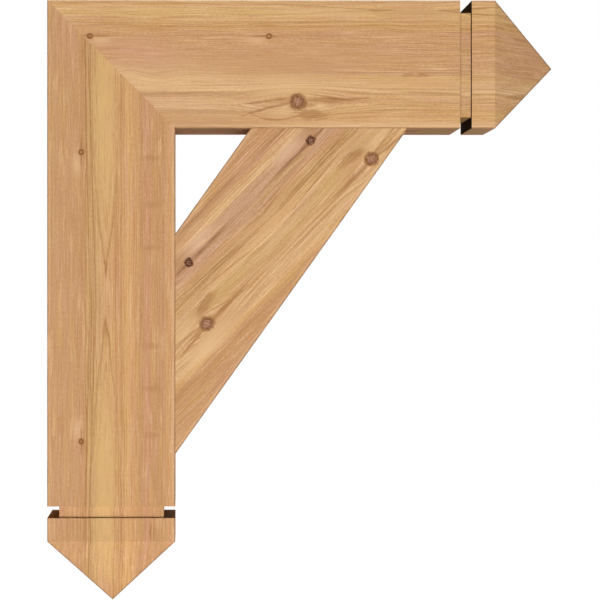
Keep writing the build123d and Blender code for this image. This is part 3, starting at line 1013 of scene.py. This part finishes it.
# Mapping from a place on the object, in metres, to the timber's grain, in millimetres
def grainPosition(tree, along, across, start):
    rows = Matrix((Vector(along).normalized(), Vector(across).normalized(), Vector((0, 1, 0))))
    flip = round(rows.determinant())
    turn = (rows @ Matrix.Diagonal((1, flip, 1))).to_euler()
    place = tree.nodes.new("ShaderNodeTexCoord").outputs["Object"]
    scale = (1 / millimetre, flip / millimetre, 1 / millimetre)
    shift = (-start[0], -start[1], halfDepth)
    inputs = {"Vector": place, "Location": shift, "Rotation": turn, "Scale": scale}
    return addNode(tree, "ShaderNodeMapping", inputs, vector_type="POINT").outputs[0]


def addRamp(tree, share, stops, interpolation):
    node = addNode(tree, "ShaderNodeValToRGB", {"Fac": share})
    ramp = node.color_ramp
    ramp.interpolation = interpolation
    while len(ramp.elements) < len(stops):
        ramp.elements.new(0.5)
    for element, (place, colour) in zip(ramp.elements, stops):
        element.position = place
        element.color = colour
    return node.outputs["Color"]


def separate(tree, colour):
    return addNode(tree, "ShaderNodeSeparateColor", {"Color": colour}).outputs


# Single lines at given layers, each rising and falling again
rampRoom = 10  # lines that fit one colour ramp


def markedLines(tree, share, lines, width):
    strongest = 0.0
    for first in range(0, len(lines), rampRoom):
        stops = []
        for place, reach, amount in lines[first : first + rampRoom]:
            stops.append(((place - reach) / width, grey(0)))
            stops.append((place / width, grey(amount)))
            stops.append(((place + reach) / width, grey(0)))
        ramp = addRamp(tree, share, stops, "LINEAR")
        strongest = calc(tree, "MAXIMUM", separate(tree, ramp)["Red"], strongest)
    return strongest


# Eyes, then smudges, then knots, each with the shared noises that its group reads
featureGroups = {
    "eyes": (cedarEye, ["Wave", "Streak"]),
    "smudges": (cedarSmudge, ["Grit", "Streak"]),
    "knots": (cedarKnot, ["Wander", "Streak", "Fleck"]),
}


def addFeatures(tree, position, places, colour, wood):
    noises = placeGroup(tree, cedarNoises, {"Position": position})
    for kind, (group, names) in featureGroups.items():
        shared = {name: noises[name] for name in names}
        for on, inputs in wood[kind]:
            inputs = {**shared, "Color": colour, "Position": places[on], **inputs}
            colour = placeGroup(tree, group, inputs)["Color"]
    return colour


# How strongly the parts of the grain show. A fade is start and end of the noise, then low and high of the
# result. The tints of fibres and specks multiply the colour under them.
cedarLook = {
    "pink": ("Hue", (0.5, 0.68, 0.0, 0.45)),
    "olive": ("Hue", (0.48, 0.32, 0.0, 0.4)),
    "cream": ("Shade", (0.53, 0.7, 0.0, 0.5)),
    "brightLines": 0.75,
    "ringLines": 0.95,
    "fineLines": 0.7,
    "fibreTints": ((0.86, 0.79, 0.67, 1), (1.12, 1.19, 1.32, 1)),
    "speckTints": ((0.93, 0.89, 0.83, 1), (1.07, 1.11, 1.17, 1)),
    "middle": (0.3, 0.7),  # start and end for fibres and specks
    "roughness": (0.2, 0.8, 0.86, 0.74),
    "specular": 0.01,
    "bump": (0.1, 0.0003),  # strength, and depth in metres
}


def cedarMaterial(name, wood, look):
    material, tree, shader = newMaterial(name)
    along = Vector(wood["grain"]["along"]).normalized()
    across = Vector(wood["grain"]["across"]).normalized()
    position = grainPosition(tree, **wood["grain"])

    # A face is a side where it looks across the grain more than out of the front or the back
    normal = tree.nodes.new("ShaderNodeTexCoord").outputs["Normal"]
    acrossNormal = absolute(tree, vectorCalc(tree, "DOT_PRODUCT", normal, across))
    depthNormal = absolute(tree, split(tree, normal)["Y"])
    side = calc(tree, "GREATER_THAN", acrossNormal, depthNormal)
    places = featurePlaces(tree, position, side, wood["mirror"])
    shift = 0.0
    for on, inputs in wood["flows"]:
        inputs = {"Position": places[on], "Shift": shift, **inputs}
        shift = placeGroup(tree, cedarFlow, inputs)["Shift"]
    pithAcross, pithDepth, pithSide = wood["pith"]
    inputs = {
        "Position": position,
        "Side": side,
        "Shift": shift,
        "Pith Across": pithAcross,
        "Pith Depth": pithDepth,
        "Pith Distance": hypot(pithAcross, pithDepth),
        "Pith Side": pithSide,
        "Ring Spacing": wood["ringSpacing"],
    }
    grain = placeGroup(tree, cedarGrain, inputs)

    # Bands of tint, soft patches, ring lines, fibres and specks
    width = wood["width"]
    share = calc(tree, "DIVIDE", grain["Layer"], width)
    colour = addRamp(tree, share, [(place / width, tint(name)) for place, name in wood["bands"]], "EASE")
    for patch in ("pink", "olive", "cream"):
        source, limits = look[patch]
        colour = mixColour(tree, fade(tree, grain[source], *limits), colour, tint(patch))
    stops = [(place / width, (dark, bright, 0, 1)) for place, dark, bright in wood["lines"]]
    strengths = separate(tree, addRamp(tree, share, stops, "LINEAR"))
    marked = product(tree, markedLines(tree, share, wood["marked"], width), grain["Break"])
    bright = product(tree, grain["Bright Line"], strengths["Green"], look["brightLines"])
    colour = mixColour(tree, bright, colour, tint("bright"))
    rings = product(tree, grain["Ring Line"], strengths["Red"], look["ringLines"])
    fine = product(tree, grain["Fine Line"], strengths["Red"], look["fineLines"])
    lines = calc(tree, "MAXIMUM", calc(tree, "MAXIMUM", rings, fine), marked)
    colour = mixColour(tree, lines, colour, tint("line"))
    for source, tints in (("Fibre", look["fibreTints"]), ("Speck", look["speckTints"])):
        texture = mixColour(tree, fade(tree, grain[source], *look["middle"]), *tints)
        colour = mixColour(tree, wood["fibre"], colour, texture, "MULTIPLY")
    colour = addFeatures(tree, position, places, colour, wood)

    edges = vectorCalc(tree, "SUBTRACT", grainPosition(tree, **wood["box"]), (0, 0, halfDepth))
    inputs = {
        "Color": colour,
        "Position": position,
        "Edge Position": edges,
        "Normal Along": vectorCalc(tree, "DOT_PRODUCT", normal, along),
        # The next two are the painted highlight and the painted shade of the edges
        "Edge Color": tint("edge"),
        "Ridge Shade Color": tint("ridge"),
        **wood["cuts"],
    }
    cut = placeGroup(tree, cedarCut, inputs)
    plug(tree, shader.inputs["Base Color"], cut["Color"])
    roughness = fade(tree, grain["Fibre"], *look["roughness"])
    plug(tree, shader.inputs["Roughness"], calc(tree, "MAXIMUM", roughness, cut["End Grain"]))
    shader.inputs["Specular IOR Level"].default_value = look["specular"]
    addBump(tree, shader, namedNoise(tree, position, "bump"), *look["bump"])
    return material


def dress(node, material):
    mesh = cadNodes[node].data
    mesh.materials.clear()
    mesh.materials.append(material)


dress("post", cedarMaterial("cedarPost", postWood, cedarLook))
dress("beam", cedarMaterial("cedarBeam", beamWood, cedarLook))
dress("brace", cedarMaterial("cedarBrace", braceWood, cedarLook))
print("timbers dressed")


# Fluted beech dowels, hidden in the joints. Millimetres.
dowelValues = {
    "tint": (213, 179, 134),
    "lateTint": (186, 148, 102),
    "fleckTint": (140, 100, 62),
    "growth": {"size": (60, 3, 3)},  # soft bands
    "growthFade": (0.35, 0.65),
    "pores": {"size": (1.6, 0.25, 0.25), "offset": 3.0},  # small dark flecks
    "poreFade": (0.6, 0.72, 0.0, 0.6),
    "roughness": (0.3, 0.7, 0.6, 0.75),
    "bump": (0.2, 0.0001),  # strength, and depth in metres
    "axes": {"mitre_dowels": (1, 0, 1), "brace_foot_dowels": (1, 0, 0), "brace_head_dowels": (0, 0, 1)},
}


def beechMaterial(name, axis, values):
    material, tree, shader = newMaterial(name)
    position = grainPosition(tree, axis, Vector(axis).cross((0, 1, 0)), (0.0, 0.0))
    growth = grainNoise(tree, position, **values["growth"])
    flecks = fade(tree, grainNoise(tree, position, **values["pores"]), *values["poreFade"])
    tints = screenColour(*values["tint"]), screenColour(*values["lateTint"])
    colour = mixColour(tree, fade(tree, growth, *values["growthFade"]), *tints)
    colour = mixColour(tree, flecks, colour, screenColour(*values["fleckTint"]))
    plug(tree, shader.inputs["Base Color"], colour)
    plug(tree, shader.inputs["Roughness"], fade(tree, growth, *values["roughness"]))
    addBump(tree, shader, flecks, *values["bump"])
    return material


for node, axis in dowelValues["axes"].items():
    dress(node, beechMaterial("beech_" + node, axis, dowelValues))
print("dowels dressed")


# Structural screws with a hexagon washer head, two to a joint. Metres, apart from the turns and the shares.
screwValues = {
    "Washer Diameter": 0.017,
    "Washer Thickness": 0.0016,
    "Flange Slope": 0.7,  # width of the washer's top, as a share of its full width
    "Hexagon Width": 0.0095,
    "Hexagon Height": 0.005,
    "Hexagon Chamfer": 0.0008,
    "Shank Diameter": 0.0058,
    "Thread Diameter": 0.0078,
    "Core Diameter": 0.0051,
    "Thread Length": 0.07,
    "Thread Pitch": 0.0031,
    "Tip Length": 0.009,
    "Tip Turns": 3.0,
}
screwDetail = {
    "washerSides": 40,
    "hexagonSides": 6,
    "shankSides": 24,
    "threadSides": 4,
    "stepsPerTurn": 18,
    "rimShare": 0.4,  # of the washer's thickness
    "threadFlatness": 0.42,  # thickness of the thread, as a share of its height
    "tipRadius": 0.0002,
    "tipThread": 0.1,  # height of the thread at the very tip, as a share
}
screwTurns = {
    "mitre_screws": (0.0, 0.0, 0.0),
    "brace_foot_screws": (0.0, -pi / 2, 0.0),
    "brace_head_screws": (0.0, 0.0, 0.0),
}


def joinParts(tree, parts):
    join = tree.nodes.new("GeometryNodeJoinGeometry")
    for part in parts:
        tree.links.new(part, join.inputs["Geometry"])
    return join.outputs["Geometry"]


def raised(tree, part, height):
    inputs = {"Geometry": part, "Translation": combine(tree, Z=height)}
    return addNode(tree, "GeometryNodeTransform", inputs).outputs[0]


# One turned piece of the screw, standing on its base at the given height
def addCone(tree, height, bottom, top, depth, sides):
    inputs = {"Vertices": sides, "Radius Bottom": bottom, "Radius Top": top, "Depth": depth}
    return raised(tree, addNode(tree, "GeometryNodeMeshCone", inputs).outputs["Mesh"], height)


# One stretch of thread: a thin diamond swept up a helix, flattened along the screw
def addThread(tree, detail, height, startRadius, endRadius, rise, turns, crest, startShare):
    inputs = {
        "Resolution": detail["stepsPerTurn"],
        "Rotations": turns,
        "Start Radius": startRadius,
        "End Radius": endRadius,
        "Height": rise,
    }
    helix = raised(tree, addNode(tree, "GeometryNodeCurveSpiral", inputs).outputs["Curve"], height)
    helix = addNode(tree, "GeometryNodeSetCurveNormal", {"Curve": helix}, mode="Z_UP").outputs["Curve"]
    inputs = {"Resolution": detail["threadSides"], "Radius": crest}
    diamond = addNode(tree, "GeometryNodeCurvePrimitiveCircle", inputs).outputs["Curve"]
    inputs = {"Geometry": diamond, "Scale": (1, detail["threadFlatness"], 1)}
    flat = addNode(tree, "GeometryNodeTransform", inputs).outputs[0]
    share = tree.nodes.new("GeometryNodeSplineParameter").outputs["Factor"]
    size = calc(tree, "MULTIPLY_ADD", share, calc(tree, "SUBTRACT", 1.0, startShare), startShare)
    inputs = {"Curve": helix, "Profile Curve": flat, "Scale": size, "Fill Caps": True}
    return addNode(tree, "GeometryNodeCurveToMesh", inputs).outputs["Mesh"]


# Head up along Z, with the underside of the washer at the seat. The pair stands to both sides of the middle.
def buildScrewTree(material, detail):
    tree = bpy.data.node_groups.new("timberScrewPair", "GeometryNodeTree")
    kinds = {"Geometry": "NodeSocketGeometry", "Seat": "NodeSocketVector", "Turn": "NodeSocketVector"}
    for name in ("Geometry", "Seat", "Turn", "Gauge", "Length", *screwValues):
        kind = kinds.get(name, "NodeSocketFloat")
        tree.interface.new_socket(name=name, in_out="INPUT", socket_type=kind)
    tree.interface.new_socket(name="Geometry", in_out="OUTPUT", socket_type=kinds["Geometry"])
    given = tree.nodes.new("NodeGroupInput").outputs
    result = tree.nodes.new("NodeGroupOutput").inputs

    washer, thickness = product(tree, given["Washer Diameter"], 0.5), given["Washer Thickness"]
    rim = product(tree, thickness, detail["rimShare"])
    slope = product(tree, thickness, 1.0 - detail["rimShare"])
    flange = product(tree, washer, given["Flange Slope"])
    corner = product(tree, given["Hexagon Width"], 0.5 / cos(pi / 6))
    chamfer = given["Hexagon Chamfer"]
    straight = calc(tree, "SUBTRACT", given["Hexagon Height"], chamfer)
    topCorner = calc(tree, "SUBTRACT", corner, chamfer)
    aboveStraight = calc(tree, "ADD", thickness, straight)
    parts = [
        addCone(tree, 0.0, washer, washer, rim, detail["washerSides"]),
        addCone(tree, rim, washer, flange, slope, detail["washerSides"]),
        addCone(tree, thickness, corner, corner, straight, detail["hexagonSides"]),
        addCone(tree, aboveStraight, corner, topCorner, chamfer, detail["hexagonSides"]),
    ]

    shank = product(tree, given["Shank Diameter"], 0.5)
    core = product(tree, given["Core Diameter"], 0.5)
    crest = calc(tree, "SUBTRACT", product(tree, given["Thread Diameter"], 0.5), core)
    plain = calc(tree, "SUBTRACT", given["Length"], given["Thread Length"])
    plainStart = product(tree, plain, -1.0)
    tipLength, tipTurns, tipRadius = given["Tip Length"], given["Tip Turns"], detail["tipRadius"]
    tipHeight = calc(tree, "SUBTRACT", tipLength, given["Length"])
    body = calc(tree, "SUBTRACT", given["Thread Length"], tipLength)
    bodyTurns = calc(tree, "DIVIDE", body, given["Thread Pitch"])
    bottom = product(tree, given["Length"], -1.0)
    parts += [
        addCone(tree, plainStart, shank, shank, plain, detail["shankSides"]),
        addCone(tree, tipHeight, core, core, body, detail["shankSides"]),
        addCone(tree, bottom, 0.0, core, tipLength, detail["shankSides"]),
        addThread(tree, detail, tipHeight, core, core, body, bodyTurns, crest, 1.0),
        addThread(tree, detail, bottom, tipRadius, core, tipLength, tipTurns, crest, detail["tipThread"]),
    ]
    screw = joinParts(tree, parts)

    offset = combine(tree, Y=product(tree, given["Gauge"], 2.0))
    first = vectorCalc(tree, "SUBTRACT", given["Seat"], combine(tree, Y=given["Gauge"]))
    inputs = {"Count": 2, "Start Location": first, "Offset": offset}
    seats = addNode(tree, "GeometryNodeMeshLine", inputs).outputs["Mesh"]
    inputs = {"Points": seats, "Instance": screw, "Rotation": given["Turn"]}
    pair = addNode(tree, "GeometryNodeInstanceOnPoints", inputs).outputs["Instances"]
    pair = addNode(tree, "GeometryNodeRealizeInstances", {"Geometry": pair}).outputs["Geometry"]
    inputs = {"Geometry": pair, "Material": material}
    pair = addNode(tree, "GeometryNodeSetMaterial", inputs).outputs["Geometry"]
    tree.links.new(pair, result["Geometry"])
    return tree


# Dull bronze-brown coating. Scales are waves to a metre.
steelValues = {
    "tints": ((88, 80, 66), (112, 102, 84)),
    "patches": {"Scale": 120.0, "Detail": 2.0},
    "patchFade": (0.35, 0.65),
    "dust": {"Scale": 900.0, "Detail": 3.0},
    "roughness": (0.3, 0.7, 0.5, 0.68),
    "metallic": 0.4,
    "bump": (0.15, 0.00005),  # strength, and depth in metres
}


def coatedSteel(values):
    material, tree, shader = newMaterial("coatedSteel")
    position = tree.nodes.new("ShaderNodeTexCoord").outputs["Object"]
    dust = addNode(tree, "ShaderNodeTexNoise", {"Vector": position, **values["dust"]}).outputs["Fac"]
    patches = addNode(tree, "ShaderNodeTexNoise", {"Vector": position, **values["patches"]}).outputs["Fac"]
    tints = [screenColour(*colour) for colour in values["tints"]]
    colour = mixColour(tree, fade(tree, patches, *values["patchFade"]), *tints)
    plug(tree, shader.inputs["Base Color"], colour)
    plug(tree, shader.inputs["Roughness"], fade(tree, dust, *values["roughness"]))
    shader.inputs["Metallic"].default_value = values["metallic"]
    addBump(tree, shader, dust, *values["bump"])
    return material


# A pair of screws in place of a CAD node, between the same head and the same tip
def makeScrews(node, turn, tree, values):
    low, high = [Vector(corner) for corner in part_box(node)]
    middle = (low + high) / 2
    headHeight = values["Washer Thickness"] + values["Hexagon Height"]
    lying = turn[1] != 0
    if lying:
        seat = Vector((low.x + headHeight, 0, middle.z))
        length = high.x - seat.x
    else:
        seat = Vector((middle.x, 0, high.z - headHeight))
        length = seat.z - low.z
    gauge = high.y - values["Washer Diameter"] / 2
    settings = {"Seat": seat, "Turn": turn, "Gauge": gauge, "Length": length, **values}
    start = bpy.data.objects.new(node + "_start", bpy.data.meshes.new(node + "_start"))
    bpy.context.scene.collection.objects.link(start)
    modifier = start.modifiers.new("screws", "NODES")
    modifier.node_group = tree
    for item in tree.interface.items_tree:
        if item.in_out == "INPUT" and item.name in settings:
            modifier[item.identifier] = settings[item.name]
    graph = bpy.context.evaluated_depsgraph_get()
    mesh = bpy.data.meshes.new_from_object(start.evaluated_get(graph))
    bpy.data.objects.remove(start)
    mesh.name = node
    screws = bpy.data.objects.new("threaded_" + node, mesh)
    bpy.context.scene.collection.objects.link(screws)
    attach(screws, "root")
    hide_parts(node)


screwTree = buildScrewTree(coatedSteel(steelValues), screwDetail)
for node, turn in screwTurns.items():
    makeScrews(node, turn, screwTree, screwValues)
print("screws made")
